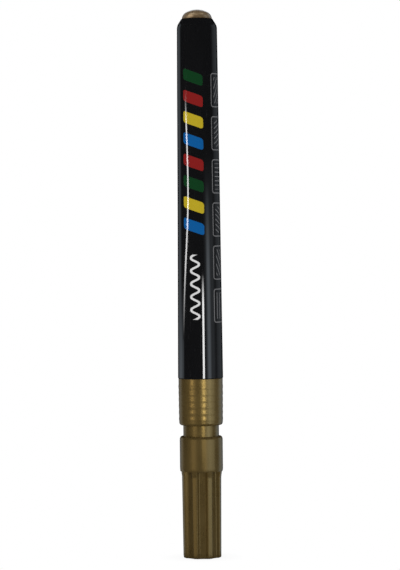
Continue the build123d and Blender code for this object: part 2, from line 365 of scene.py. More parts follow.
def between(value, low, high, at_low=0, at_high=1):
    """A value carried from one span to another and held at its ends."""
    return result("ShaderNodeMapRange", {
        "Value": value, "From Min": low, "From Max": high, "To Min": at_low, "To Max": at_high,
    })


def mixed(share, first, second):
    """Two colours mixed by a share."""
    node = share.tree.nodes.new("ShaderNodeMix")
    node.data_type = "RGBA"
    for place, value in zip(MIX_COLOUR_INPUTS, (share, first, second)):
        feed(node.inputs[place], value)
    return Signal(node.outputs[MIX_COLOUR_OUTPUT])


def drawn(position, factors):
    """A position with each part multiplied by its own factor, to draw out what lies on it."""
    node = add_node("ShaderNodeVectorMath", {0: position, 1: factors})
    node.operation = "MULTIPLY"
    return signals(node)["Vector"]


def cloud(position, scale, detail):
    """Soft noise of that many grains to the metre."""
    return result("ShaderNodeTexNoise", {"Vector": position, "Scale": scale, "Detail": detail})


def node_group(tree_kind="ShaderNodeTree", output_kind=FLOAT, **inputs):
    """Makes a node group of a function that lays its nodes and returns its outputs by name.

    Inputs are kinds of socket by name, with _ for a space.
    """
    def group(lay):
        tree = bpy.data.node_groups.new(lay.__name__, tree_kind)
        for name, kind in inputs.items():
            tree.interface.new_socket(name.replace("_", " "), in_out="INPUT", socket_type=kind)
        outputs = lay(signals(tree.nodes.new("NodeGroupInput")))
        for name in outputs:
            tree.interface.new_socket(name, in_out="OUTPUT", socket_type=output_kind)
        sockets = tree.nodes.new("NodeGroupOutput").inputs
        for name, value in outputs.items():
            feed(sockets[name], value)
        return tree

    return group


def apply_effect(group, **values):
    """A shader group's outputs. Its inputs are given by name, with _ for a space."""
    node = tree_of(values.values()).nodes.new("ShaderNodeGroup")
    node.node_tree = group
    for name, value in values.items():
        feed(node.inputs[name.replace("_", " ")], value)
    return signals(node)


# Effects that several finishes share. Noise keeps to a span round its middle. Each set of scratches
# has how it is drawn out, its grains to the metre, and the noise where one starts and is full.
NOISE_SPAN = (0.3, 0.7)
FLOW_DRAW = (1, 1, 0.35)
FIBRE_DRAW = (1, 1, 0.06)
STRAIGHT_SCRATCHES = ((1, 1, 0.04), 5200, 0.66, 0.74)
SLANTED_SCRATCHES = ((1, 1, 0.05), 4300, 0.67, 0.74)
SCRATCH_SLANT = (0.6, 0.35, 0.2)
RUBBED_GRAINS = 160
RUBBED_SPAN = (0.62, 0.45)


@node_group(Position=VECTOR)
def round_the_axis(given):
    """Where a point lies on a turned piece: its angle from the front, its height and its radius."""
    parts = signals(add_node("ShaderNodeSeparateXYZ", {0: given["Position"]}))
    across, deep = parts["X"], parts["Y"]
    return {
        "Angle": calculate("ARCTAN2", across, deep * -1),
        "Height": parts["Z"],
        "Radius": calculate("SQRT", across * across + deep * deep),
    }


@node_group(Position=VECTOR, Flow_Scale=FLOAT, Grain_Scale=FLOAT)
def moulded_skin(given):
    """The skin of a moulding: soft flow marks in its tone, and a fine grain in its relief."""
    flow = drawn(given["Position"], FLOW_DRAW)
    return {
        "Tone": cloud(flow, given["Flow Scale"], detail=3),
        "Grain": cloud(given["Position"], given["Grain Scale"], detail=2),
    }


@node_group(Position=VECTOR, Spread=FLOAT)
def handling_marks(given):
    """Hairline scratches, straight and slanted, where fingers and pockets rub a piece."""
    turn = add_node("ShaderNodeVectorRotate", {"Vector": given["Position"]})
    turn.rotation_type = "EULER_XYZ"
    feed(turn.inputs["Rotation"], SCRATCH_SLANT)
    lines = []
    for position, (draw, grains, start, full) in (
        (given["Position"], STRAIGHT_SCRATCHES),
        (signals(turn)["Vector"], SLANTED_SCRATCHES),
    ):
        lines.append(between(cloud(drawn(position, draw), grains, detail=1), start, full))
    rubbed = between(cloud(given["Position"], RUBBED_GRAINS, detail=2), *RUBBED_SPAN)
    return {"Marks": largest(*lines) * (rubbed * given["Spread"])}


@node_group(Position=VECTOR, Flake_Scale=FLOAT)
def pigment_flakes(given):
    """The glint of metal flakes in a pigmented moulding: a value from 0 to 1 for each flake."""
    flakes = signals(add_node("ShaderNodeTexVoronoi", {
        "Vector": given["Position"], "Scale": given["Flake Scale"],
    }))
    return {"Glint": result("ShaderNodeSeparateColor", {0: flakes["Color"]})}


@node_group(Position=VECTOR, Strand_Scale=FLOAT)
def pressed_fibre(given):
    """Fibres that run along the axis: strands from 0 to 1."""
    strands = cloud(drawn(given["Position"], FIBRE_DRAW), given["Strand Scale"], detail=4)
    return {"Strands": between(strands, *NOISE_SPAN)}


@node_group(Across=FLOAT, Along=FLOAT, Half_Width=FLOAT, Half_Length=FLOAT, Corner=FLOAT)
def ink_patch(given):
    """How far a point lies outside a round-cornered patch of print, less than 0 inside it."""
    wide = abs(given["Across"]) - given["Half Width"] + given["Corner"]
    long = abs(given["Along"]) - given["Half Length"] + given["Corner"]
    past_wide = largest(wide, 0)
    past_long = largest(long, 0)
    past = calculate("SQRT", past_wide * past_wide + past_long * past_long)
    inside = calculate("MINIMUM", largest(wide, long), 0)
    return {"Distance": past + inside - given["Corner"]}


@node_group(Along=FLOAT, Start=FLOAT, Pitch=FLOAT, Count=FLOAT)
def ink_repeat(given):
    """A row of patches along the film: each one's number, the place from its middle, 1 within."""
    steps = (given["Along"] - given["Start"]) / given["Pitch"]
    number = calculate("FLOOR", steps)
    after_first = calculate("GREATER_THAN", number, -0.5)
    before_last = calculate("LESS_THAN", number, given["Count"] - 0.5)
    return {
        "Number": number,
        "Place": (steps - number - 0.5) * given["Pitch"],
        "Within": after_first * before_last,
    }


# Finishes
PLASTIC_IOR = 1.5
FLAKE_TONE = 0.2
PIGMENT_TONE_SPAN = (-0.2, 1.2)
FLAKE_METALLIC = 0.02
SCRATCH_ROUGHNESS = 0.1
SCRATCH_RELIEF = -0.3
GRAIN_ROUGHNESS = 0.06
RUBBED_ROUGHNESS = -0.1
STAIN_WANDER = 1.2 * MM
FIBRE_ROUGHNESS = (0.72, 0.92)
STEEL_GRAINS = 6000


def finish_for(name, **settings):
    """A new material, its shader's inputs, which settings name, and the object coordinates."""
    material = bpy.data.materials.new(name)
    material.use_nodes = True
    tree = material.node_tree
    shader = tree.nodes["Principled BSDF"].inputs
    for setting, value in settings.items():
        feed(shader[setting], value)
    return material, shader, signals(tree.nodes.new("ShaderNodeTexCoord"))["Object"]


def bump(shader, height, strength, distance):
    """Feeds a relief to the shader's normal."""
    feed(shader["Normal"], result("ShaderNodeBump", {
        "Strength": strength, "Distance": distance, "Height": height,
    }))


def pigmented_plastic(name, deep, pale, metallic, smooth, rough):
    """A moulding coloured with metal pigment: flow marks, flakes and hairline marks."""
    material, shader, position = finish_for(name, IOR=PLASTIC_IOR)
    skin = apply_effect(moulded_skin, Position=position, Flow_Scale=420, Grain_Scale=5200)
    glint = apply_effect(pigment_flakes, Position=position, Flake_Scale=9000)["Glint"]
    marks = apply_effect(handling_marks, Position=position, Spread=0.4)["Marks"]
    tone = between(skin["Tone"], *NOISE_SPAN) + (glint - 0.5) * FLAKE_TONE
    feed(shader["Base Color"], mixed(between(tone, *PIGMENT_TONE_SPAN), deep, pale))
    low, high = metallic - FLAKE_METALLIC, metallic + FLAKE_METALLIC
    feed(shader["Metallic"], between(glint, 0, 1, low, high))
    roughness = between(skin["Tone"], *NOISE_SPAN, smooth, rough)
    feed(shader["Roughness"], marks * SCRATCH_ROUGHNESS + roughness)
    relief = marks * SCRATCH_RELIEF + skin["Grain"]
    bump(shader, relief, strength=0.02, distance=0.02 * MM)
    return material


def plain_moulding(name, deep, pale, rough, grain_scale, relief):
    """An unpigmented or black moulding with flow marks, a fine grain and hairline marks."""
    material, shader, position = finish_for(name, IOR=PLASTIC_IOR)
    skin = apply_effect(moulded_skin, Position=position, Flow_Scale=350, Grain_Scale=grain_scale)
    marks = apply_effect(handling_marks, Position=position, Spread=0.5)["Marks"]
    feed(shader["Base Color"], mixed(between(skin["Tone"], *NOISE_SPAN), deep, pale))
    low, high = rough - GRAIN_ROUGHNESS, rough + GRAIN_ROUGHNESS
    roughness = between(skin["Grain"], *NOISE_SPAN, low, high)
    feed(shader["Roughness"], marks * RUBBED_ROUGHNESS + roughness)
    bump(shader, skin["Grain"], strength=0.2, distance=relief)
    return material


def fibre(name, deep, pale, stain, stain_top, stain_bottom, strand_scale):
    """Pressed fibre whose strands run along the axis, stained by paint from the front."""
    material, shader, position = finish_for(name, IOR=1.45)
    strands = apply_effect(pressed_fibre, Position=position, Strand_Scale=strand_scale)["Strands"]
    height = apply_effect(round_the_axis, Position=position)["Height"]
    stained = between(strands * STAIN_WANDER + height, stain_top, stain_bottom)
    feed(shader["Base Color"], mixed(stained, mixed(strands, deep, pale), stain))
    feed(shader["Roughness"], between(strands, 0, 1, *FIBRE_ROUGHNESS))
    bump(shader, strands, strength=0.6, distance=0.03 * MM)
    return material


def bright_steel(name, deep, pale, smooth, rough, draw):
    """Drawn or polished steel: fine lines along one way, or even scuffs, in tone and roughness."""
    material, shader, position = finish_for(name, Metallic=1)
    lines = cloud(drawn(position, draw), STEEL_GRAINS, detail=3)
    share = between(lines, *NOISE_SPAN)
    feed(shader["Base Color"], mixed(share, deep, pale))
    feed(shader["Roughness"], between(share, 0, 1, smooth, rough))
    bump(shader, lines, strength=0.1, distance=0.01 * MM)
    return material


# Print on the film, in a generic design: slanted colour swatches, a squiggle and framed hatches.
# Places across the film are lengths round it from the front.
FILM_DEEP = (0.0045, 0.0045, 0.005, 1)
FILM_PALE = (0.0065, 0.0065, 0.007, 1)
FILM_SCRATCHED = (0.03, 0.03, 0.031, 1)
FILM_SCRATCH_SHARE = 0.5
FILM_ROUGHNESS = (0.03, 0.05)
FILM_SCRATCH_ROUGHNESS = 0.07
INK_ROUGHNESS = 0.01
INK_EDGE = 0.05 * MM
BLUE_INK = (0.005, 0.10, 0.32, 1)
YELLOW_INK = (0.50, 0.38, 0.02, 1)
GREEN_INK = (0.006, 0.045, 0.013, 1)
RED_INK = (0.24, 0.014, 0.013, 1)
WHITE_INK = (0.72, 0.72, 0.72, 1)
GREY_INK = (0.16, 0.16, 0.165, 1)
PRINT_RADIUS = 5.4 * MM
SWATCH_COLOURS = (
    BLUE_INK, YELLOW_INK, GREEN_INK, RED_INK, BLUE_INK, YELLOW_INK, RED_INK, GREEN_INK
)
SWATCH_START = 82 * MM
SWATCH_PITCH = 5.4 * MM
SWATCH_MIDDLE = radians(-15) * PRINT_RADIUS
SWATCH_HALF_WIDTH = 2.75 * MM
SWATCH_HALF_LENGTH = 1.45 * MM
SWATCH_CORNER = 0.7 * MM
SWATCH_SLANT = 0.35
SQUIGGLE_BOTTOM = 61 * MM
SQUIGGLE_TOP = 77.5 * MM
SQUIGGLE_MIDDLE = radians(-12) * PRINT_RADIUS
SQUIGGLE_SWING = 1 * MM
SQUIGGLE_PITCH = 3.3 * MM
SQUIGGLE_TURN = FULL_TURN / SQUIGGLE_PITCH
SQUIGGLE_HALF_WIDTH = 0.27 * MM
FRAME_COUNT = 6
FRAME_START = 59 * MM
FRAME_PITCH = 10.95 * MM
FRAME_MIDDLE = radians(75) * PRINT_RADIUS
FRAME_HALF_WIDTH = 3.2 * MM
FRAME_HALF_LENGTH = 4.2 * MM
FRAME_CORNER = 0.6 * MM
FRAME_LINE_HALF = 0.12 * MM
HATCH_INSET = 0.9 * MM
HATCH_PITCH = 1.1 * MM
HATCH_LINE_HALF = 0.11 * MM
HATCH_TURN = radians(30)


def inked(distance):
    """Full ink inside a patch and none outside, with a soft edge."""
    return between(distance, INK_EDGE, -INK_EDGE)


def swatch_row(across, height):
    """The colour swatches: their ink and their colour."""
    count = len(SWATCH_COLOURS)
    row = apply_effect(
        ink_repeat, Along=height, Start=SWATCH_START, Pitch=SWATCH_PITCH, Count=count
    )
    upright = across - SWATCH_MIDDLE
    distance = apply_effect(
        ink_patch, Across=upright, Along=upright * SWATCH_SLANT + row["Place"],
        Half_Width=SWATCH_HALF_WIDTH, Half_Length=SWATCH_HALF_LENGTH, Corner=SWATCH_CORNER,
    )["Distance"]
    palette = add_node("ShaderNodeValToRGB", {"Fac": (row["Number"] + 0.5) / count})
    palette.color_ramp.interpolation = "CONSTANT"
    stops = palette.color_ramp.elements
    stops.remove(stops[1])
    stops[0].color = SWATCH_COLOURS[0]
    for place, colour in enumerate(SWATCH_COLOURS[1:], start=1):
        stops.new(place / count).color = colour
    return inked(distance) * row["Within"], signals(palette)["Color"]


def squiggle(across, height):
    """The ink of one even stroke that swings from side to side as it rises."""
    turn = (height - SQUIGGLE_BOTTOM) * SQUIGGLE_TURN
    middle = calculate("SINE", turn) * SQUIGGLE_SWING + SQUIGGLE_MIDDLE
    lean = calculate("COSINE", turn) * (SQUIGGLE_SWING * SQUIGGLE_TURN)
    stretch = calculate("SQRT", lean * lean + 1)
    beside = abs(across - middle) / stretch - SQUIGGLE_HALF_WIDTH
    below = calculate("SUBTRACT", SQUIGGLE_BOTTOM, height)
    return inked(largest(beside, height - SQUIGGLE_TOP, below))


def framed_hatches(across, height):
    """The ink of a row of frames, each with lines hatched at its own angle."""
    row = apply_effect(
        ink_repeat, Along=height, Start=FRAME_START, Pitch=FRAME_PITCH, Count=FRAME_COUNT
    )
    aside = across - FRAME_MIDDLE
    distance = apply_effect(
        ink_patch, Across=aside, Along=row["Place"], Half_Width=FRAME_HALF_WIDTH,
        Half_Length=FRAME_HALF_LENGTH, Corner=FRAME_CORNER,
    )["Distance"]
    turn = row["Number"] * HATCH_TURN
    over = aside * calculate("COSINE", turn) + row["Place"] * calculate("SINE", turn)
    hatch = calculate("PINGPONG", over, HATCH_PITCH / 2) - HATCH_LINE_HALF
    hatch = largest(hatch, distance + HATCH_INSET)
    line = abs(distance) - FRAME_LINE_HALF
    return inked(calculate("MINIMUM", line, hatch)) * row["Within"]


def printed_film():
    """Gloss black film, printed, with a faint ripple and hairline marks."""
    material, shader, position = finish_for("printed_film", IOR=1.58)
    place = apply_effect(round_the_axis, Position=position)
    across = place["Angle"] * PRINT_RADIUS
    swatches, swatch_colour = swatch_row(across, place["Height"])
    stroke = squiggle(across, place["Height"])
    frames = framed_hatches(across, place["Height"])
    skin = apply_effect(moulded_skin, Position=position, Flow_Scale=240, Grain_Scale=900)
    marks = apply_effect(handling_marks, Position=position, Spread=0.6)["Marks"]
    colour = mixed(skin["Tone"], FILM_DEEP, FILM_PALE)
    colour = mixed(marks * FILM_SCRATCH_SHARE, colour, FILM_SCRATCHED)
    for ink, ink_colour in ((swatches, swatch_colour), (stroke, WHITE_INK), (frames, GREY_INK)):
        colour = mixed(ink, colour, ink_colour)
    feed(shader["Base Color"], colour)
    roughness = between(skin["Tone"], *NOISE_SPAN, *FILM_ROUGHNESS)
    roughness = largest(swatches, stroke, frames) * INK_ROUGHNESS + roughness
    feed(shader["Roughness"], marks * FILM_SCRATCH_ROUGHNESS + roughness)
    bump(shader, skin["Grain"], strength=0.012, distance=0.05 * MM)
    return material


GOLD_PLASTIC = pigmented_plastic(
    "gold_plastic", (0.173, 0.114, 0.036, 1), (0.213, 0.145, 0.050, 1),
    metallic=0.65, smooth=0.25, rough=0.31,
)
TAIL_PLASTIC = pigmented_plastic(
    "tail_plastic", (0.268, 0.171, 0.084, 1), (0.320, 0.210, 0.107, 1),
    metallic=0.6, smooth=0.28, rough=0.34,
)
PRINTED_FILM = printed_film()
BARREL_PLASTIC = plain_moulding(
    "barrel_plastic", (0.010, 0.010, 0.011, 1), (0.014, 0.014, 0.015, 1),
    rough=0.45, grain_scale=4000, relief=0.02 * MM,
)
LINER_PLASTIC = plain_moulding(
    "liner_plastic", (0.70, 0.69, 0.64, 1), (0.79, 0.78, 0.74, 1),
    rough=0.42, grain_scale=3500, relief=0.02 * MM,
)
VALVE_PLASTIC = plain_moulding(
    "valve_plastic", (0.66, 0.66, 0.63, 1), (0.74, 0.74, 0.72, 1),
    rough=0.4, grain_scale=4500, relief=0.015 * MM,
)
SEAT_RUBBER = plain_moulding(
    "seat_rubber", (0.016, 0.016, 0.016, 1), (0.026, 0.026, 0.025, 1),
    rough=0.75, grain_scale=6000, relief=0.03 * MM,
)
NIB_FIBRE = fibre(
    "nib_fibre", (0.50, 0.42, 0.28, 1), (0.72, 0.65, 0.50, 1), stain=(0.36, 0.24, 0.07, 1),
    stain_top=NOSE_END + 1 * MM, stain_bottom=NIB_TIP + 2.6 * MM, strand_scale=5200,
)
WADDING_FIBRE = fibre(
    "wadding_fibre", (0.58, 0.56, 0.50, 1), (0.76, 0.74, 0.68, 1), stain=(0.42, 0.32, 0.14, 1),
    stain_top=WADDING_FRONT + 5 * MM, stain_bottom=WADDING_FRONT, strand_scale=4200,
)
SPRING_STEEL = bright_steel(
    "spring_steel", (0.46, 0.46, 0.47, 1), (0.60, 0.60, 0.61, 1),
    smooth=0.24, rough=0.36, draw=(1, 1, 3),
)
BALL_STEEL = bright_steel(
    "ball_steel", (0.56, 0.56, 0.57, 1), (0.64, 0.64, 0.64, 1),
    smooth=0.10, rough=0.20, draw=(1, 0.3, 0.3),
)


# Pieces


def flute_section():
    """A cut across one flute, from ridge to ridge.

    It is a run of angles from the flute's middle, each with its share of the ridges' height.
    """
    half_sector = pi / FLUTE_COUNT
    half = eased([
        (0, 0, 0),
        (FLUTE_FLOOR_WIDTH / 2, 0, FLUTE_CORNER_EASE),
        (FLUTE_WIDTH / 2, FLUTE_DEPTH, FLUTE_EDGE_EASE),
        ((FLUTE_FLOOR_RADIUS + FLUTE_DEPTH) * tan(half_sector), FLUTE_DEPTH, 0),
    ])
    right = []
    for across, depth in spread(half, FLUTE_SPACING):
        right.append((atan2(across, FLUTE_FLOOR_RADIUS + depth), depth / FLUTE_DEPTH))
    left = [(-angle, share) for angle, share in reversed(right[1:])]
    return left + right


def flute_sector(name, points):
    """One flute's sector of the cap from its outline, closed but for its two sides."""
    section = flute_section()
    rows = []
    for radius, height in points:
        fluted, plain = [], []
        for angle, share in section:
            floor = FLUTE_FLOOR_RADIUS / cos(angle)
            out = floor + (radius - floor) * share if radius > floor else radius
            fluted.append(around(out, angle, height))
            plain.append(around(radius, angle, height))
        past_flute = height - FLUTE_TOP
        if past_flute < SUPPORT / 2:
            rows.append(fluted)
        if past_flute > -SUPPORT / 2:
            rows.append(plain)
    shell = sheet(rows)
    bmesh.ops.remove_doubles(shell, verts=shell.verts, dist=JOIN_DISTANCE)
    return built(name, shell)


@node_group(
    "GeometryNodeTree", GEOMETRY, Geometry=GEOMETRY, Count="NodeSocketInt", First_Angle=FLOAT,
    Join_Distance=FLOAT, Material="NodeSocketMaterial",
)
def sector_array(given):
    """Geometry Nodes that set copies of one sector round the axis and join them."""
    number = result("GeometryNodeInputIndex", {}, given["Count"].tree)
    step = calculate("DIVIDE", FULL_TURN, given["Count"])
    angle = calculate("MULTIPLY_ADD", number, step, given["First Angle"])
    turn = result("ShaderNodeCombineXYZ", {"Z": angle})
    copies = result("GeometryNodeInstanceOnPoints", {
        "Points": result("GeometryNodePoints", {"Count": given["Count"]}),
        "Instance": given["Geometry"],
        "Rotation": result("FunctionNodeEulerToRotation", {0: turn}),
    })
    joined = result("GeometryNodeMergeByDistance", {
        "Geometry": result("GeometryNodeRealizeInstances", {0: copies}),
        "Distance": given["Join Distance"],
    })
    return {"Geometry": result("GeometryNodeSetMaterial", {
        "Geometry": joined, "Material": given["Material"],
    })}


def set_round(piece, **values):
    """Sets a sector round the axis and leaves it a plain mesh.

    Values are the nodes' inputs by name, with _ for a space.
    """
    array = piece.modifiers.new("sectors", "NODES")
    array.node_group = sector_array
    for item in sector_array.interface.items_tree:
        name = item.name.replace(" ", "_")
        if item.in_out == "INPUT" and name in values:
            array[item.identifier] = values[name]
    whole = piece.evaluated_get(bpy.context.evaluated_depsgraph_get())
    mesh = bpy.data.meshes.new_from_object(whole)
    piece.modifiers.clear()
    piece.data = mesh
    mesh.shade_smooth()


def cap():
    """The fluted cap with its plain collar, open at the mouth down to the floor under the liner."""
    outside = eased([
        (0, CAP_END, 0),
        (RIDGE_END_RADIUS, CAP_END, CAP_END_EASE),
        (RIDGE_TOP_RADIUS, RAMP_BOTTOM, RAMP_FOOT_EASE),
        (FLUTE_TOP_RADIUS, FLUTE_TOP, 0),
        (COLLAR_RADIUS, COLLAR_BOTTOM, COLLAR_FOOT_EASE),
        (COLLAR_RADIUS, CAP_MOUTH, COLLAR_EDGE_HEIGHT, COLLAR_EDGE_WIDTH),
        (CAP_MOUTH_RADIUS, CAP_MOUTH, CAP_MOUTH_EASE),
        (CAP_MOUTH_RADIUS, CAP_LEDGE, 0),
        (CAP_CORE_RADIUS, CAP_LEDGE, 0),
        (CAP_CORE_RADIUS, CAP_FLOOR, 0),
        (0, CAP_FLOOR, 0),
    ])
    piece = flute_sector("fluted_cap", spread(outside, CAP_SPACING))
    set_round(
        piece, Count=FLUTE_COUNT, First_Angle=FIRST_FLUTE_ANGLE, Join_Distance=JOIN_DISTANCE,
        Material=GOLD_PLASTIC,
    )
    return stand_for(piece, "cap_shell", "cap", GOLD_PLASTIC)


def liner():
    """The soft liner in the cap."""
    outline = eased([
        (0, LINER_END, 0),
        (LINER_RADIUS, LINER_END, EDGE_EASE),
        (LINER_RADIUS, LINER_FLANGE_BOTTOM, 0),
        (LINER_FLANGE_RADIUS, LINER_FLANGE_BOTTOM, EDGE_EASE),
        (LINER_FLANGE_RADIUS, LINER_TOP, EDGE_EASE),
        (LINER_LIP_RADIUS, LINER_TOP, SOFT_EASE),
        (LINER_LIP_RADIUS, LINER_LIP_BOTTOM, EDGE_EASE),
        (LINER_BORE, LINER_LIP_BOTTOM, EDGE_EASE),
        (LINER_BORE, LINER_FLOOR_TOP, SOFT_EASE),
        (0, LINER_FLOOR_TOP, 0),
    ])
    piece = turned("cap_liner", spread(outline, INSIDE_SPACING), SMALL_SEGMENTS)
    stand_for(piece, "inner_cap", "cap", LINER_PLASTIC)


def grip_outside(height):
    """The grip's outer radius at a height, between its rings."""
    along = (height - GRIP_BOTTOM) / (GRIP_TOP - GRIP_BOTTOM)
    return GRIP_FRONT_RADIUS + (GRIP_REAR_RADIUS - GRIP_FRONT_RADIUS) * along


def swell(outside, bottom, top, rise):
    """Points of one soft ring that swells out of a surface between two heights."""
    steps = 2 * EASE_STEPS
    points = []
    for step in range(steps + 1):
        share = step / steps
        height = bottom + (top - bottom) * share
        out = rise * (1 - cos(FULL_TURN * share)) / 2
        points.append(Vector((outside(height) + out, height)))
    return points


def grip():
    """The front section: nose, neck with its bead, ringed grip, and the spigot and bores inside."""
    front = eased([
        (NIB_BORE, NOSE_END, EDGE_EASE),
        (NOSE_TIP_RADIUS, NOSE_END, SOFT_EASE),
        (NOSE_RADIUS, NOSE_TAPER_TOP, WIDE_EASE),
        (NOSE_RADIUS, NOSE_TOP, SOFT_EASE),
        (NECK_RADIUS, NECK_BOTTOM, SOFT_EASE),
        (NECK_RADIUS, GRIP_BOTTOM, EDGE_EASE),
        (GRIP_FRONT_RADIUS, GRIP_BOTTOM, GRIP_EDGE_EASE),
        (grip_outside(RINGS_BOTTOM), RINGS_BOTTOM, 0),
    ])
    bead = swell(
        lambda height: NECK_RADIUS, NECK_BEAD_HEIGHT - NECK_BEAD_HALF,
        NECK_BEAD_HEIGHT + NECK_BEAD_HALF, NECK_BEAD_RISE,
    )
    rings = []
    pitch = (RINGS_TOP - RINGS_BOTTOM) / RING_COUNT
    for ring in range(RING_COUNT):
        bottom = RINGS_BOTTOM + ring * pitch
        rings += swell(grip_outside, bottom, bottom + pitch, RING_RISE)[1:]
    rear = eased([
        (grip_outside(RINGS_TOP), RINGS_TOP, 0),
        (GRIP_REAR_RADIUS, GRIP_TOP, EDGE_EASE),
        (SPIGOT_RADIUS, GRIP_TOP, EDGE_EASE),
        (SPIGOT_RADIUS, SPIGOT_TOP, WIDE_EASE),
        (VALVE_BORE, SPIGOT_TOP, EDGE_EASE),
        (VALVE_BORE, VALVE_SEAT_BOTTOM, 0),
        (CHAMBER_RADIUS, VALVE_SEAT_BOTTOM, 0),
        (CHAMBER_RADIUS, WADDING_FRONT, 0),
        (NIB_BORE, WADDING_FRONT, 0),
    ])
    past_bead = next(place for place, point in enumerate(front) if point.y > NECK_BEAD_HEIGHT)
    points = front[:past_bead] + bead + front[past_bead:] + rings + rear[1:]
    piece = turned("ringed_grip", spread(points, OUTSIDE_SPACING), WALL_SEGMENTS)
    return stand_for(piece, "grip_section", "pen_body", GOLD_PLASTIC)


def film_relief(height, angle):
    """How far the film lies from a true cone: slack, a lapped seam, and gathers at the tail."""
    slack = 0
    for count, turn, start in FILM_SLACK_WAVES:
        wave = sin(count * angle + turn * height / FILM_SLACK_LENGTH + start)
        slack += wave / len(FILM_SLACK_WAVES)
    aside = abs((angle - FILM_SEAM_ANGLE + pi) % FULL_TURN - pi) * FILM_SHOULDER_RADIUS
    seam = min(max((FILM_SEAM_HALF - aside) / FILM_SEAM_EASE, 0), 1)
    near_rim = max(0, 1 - (FILM_RIM - height) / FILM_GATHER_LENGTH)
    stray = FILM_GATHER_STRAY * sin(FILM_GATHER_STRAY_COUNT * angle)
    gathers = FILM_GATHER_DEPTH * near_rim * (sin(FILM_GATHER_COUNT * angle + stray) - 1)
    return FILM_SLACK * (slack / 2 - 1 + seam) * (1 - near_rim) + gathers


def film():
    """The printed film round the barrel, drawn in over the rear shoulder."""
    inside_rim = FILM_RIM_RADIUS - FILM_THICKNESS
    outline = eased([
        (FILM_FRONT_RADIUS, FILM_FRONT, FILM_EDGE_EASE),
        (FILM_SHOULDER_RADIUS, FILM_SHOULDER, FILM_SHOULDER_EASE),
        (FILM_RIM_RADIUS, FILM_RIM, FILM_EDGE_EASE),
        (inside_rim, FILM_RIM, 0),
        (FILM_SHOULDER_RADIUS - FILM_THICKNESS, FILM_SHOULDER, FILM_SHOULDER_EASE),
        (FILM_FRONT_RADIUS - FILM_THICKNESS, FILM_FRONT, 0),
    ])
    first_inside = outline.index(Vector((inside_rim, FILM_RIM)))
    outside = spread(outline[:first_inside], FILM_SPACING)
    points = outside + spread(outline[first_inside:], INSIDE_SPACING)
    piece = turned("barrel_film", points, WALL_SEGMENTS, film_relief, len(outside))
    return stand_for(piece, "print_sleeve", "pen_body", PRINTED_FILM)


def dome_arcs():
    """Points over the dome from its foot: a tight arc at its side, then a flatter one on top."""
    dome_height = DOME_TOP - FILM_RIM
    side = DOME_ROUND_SHARE * dome_height
    inset = DOME_RADIUS - side
    crown = (dome_height ** 2 + inset ** 2 - side ** 2) / (2 * (dome_height - side))
    crown_middle = DOME_TOP - crown
    meet = atan2(FILM_RIM - crown_middle, inset)
    points = []
    for step in range(1, DOME_STEPS + 1):
        turn = meet * step / DOME_STEPS
        points.append(Vector((inset + side * cos(turn), FILM_RIM + side * sin(turn))))
    for step in range(1, DOME_STEPS):
        turn = meet + (pi / 2 - meet) * step / DOME_STEPS
        points.append(Vector((crown * cos(turn), crown_middle + crown * sin(turn))))
    points.append(Vector((0, DOME_TOP)))
    return points


def plug():
    """The domed tail plug with its hollow spigot."""
    foot = eased([
        (0, FILM_RIM, 0),
        (PLUG_BORE, FILM_RIM, 0),
        (PLUG_BORE, PLUG_END, EDGE_EASE),
        (PLUG_SPIGOT_RADIUS, PLUG_END, EDGE_EASE),
        (PLUG_SPIGOT_RADIUS, FILM_RIM, 0),
        (DOME_RADIUS, FILM_RIM, 0),
    ])
    piece = turned("tail_dome", spread(foot, OUTSIDE_SPACING) + dome_arcs(), SMALL_SEGMENTS)
    return stand_for(piece, "tail_plug", "pen_body", TAIL_PLASTIC)


def nib():
    """The bullet-pointed fibre nib."""
    outline = eased([
        (0, NIB_TIP, 0),
        (NIB_TIP_RADIUS, NIB_TIP, NIB_TIP_EASE),
        (NIB_RADIUS, NIB_POINT_TOP, NIB_SIDE_EASE),
        (NIB_RADIUS, NIB_REAR, EDGE_EASE),
        (0, NIB_REAR, 0),
    ])
    piece = turned("bullet_nib", spread(outline, OUTSIDE_SPACING), SMALL_SEGMENTS)
    stand_for(piece, "nib", "nib_plunger", NIB_FIBRE)


def spring():
    """The valve's wire spring, which shortens towards the cage as the nib is pressed in."""
    piece = placed("wire_spring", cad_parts["valve_spring"].data.copy())
    stand_for(piece, "valve_spring", "pen_body", SPRING_STEEL)
    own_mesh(piece)


fluted_cap = cap()
ringed_grip = grip()
barrel_film = film()
tail_dome = plug()
liner()
nib()
spring()

INNER_FINISHES = {
    "overflow_wadding": WADDING_FIBRE,
    "nib_guide": VALVE_PLASTIC,
    "valve_seat": SEAT_RUBBER,
    "valve_stem": VALVE_PLASTIC,
    "valve_cage": VALVE_PLASTIC,
    "barrel": BARREL_PLASTIC,
    "mixing_ball_1": BALL_STEEL,
    "mixing_ball_2": BALL_STEEL,
}
for node, material in INNER_FINISHES.items():
    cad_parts[node].material_slots[0].material = material


# Studio
WHITE = (1, 1, 1, 1)
AMBIENT = 0.75
FLOOR_COLOUR = (0.9, 0.9, 0.9, 1)
FLOOR_RADIUS = 11 * MM
FLOOR_GAP = 0.03 * MM
SHADOW_SHARE = 0.15
CURTAIN_RADIUS = 750 * MM
CURTAIN_BOTTOM = -300 * MM
CURTAIN_TOP = 600 * MM
CURTAIN_DARK = 0.015
CURTAIN_TINT = (0.8, 0.9, 1, 1)

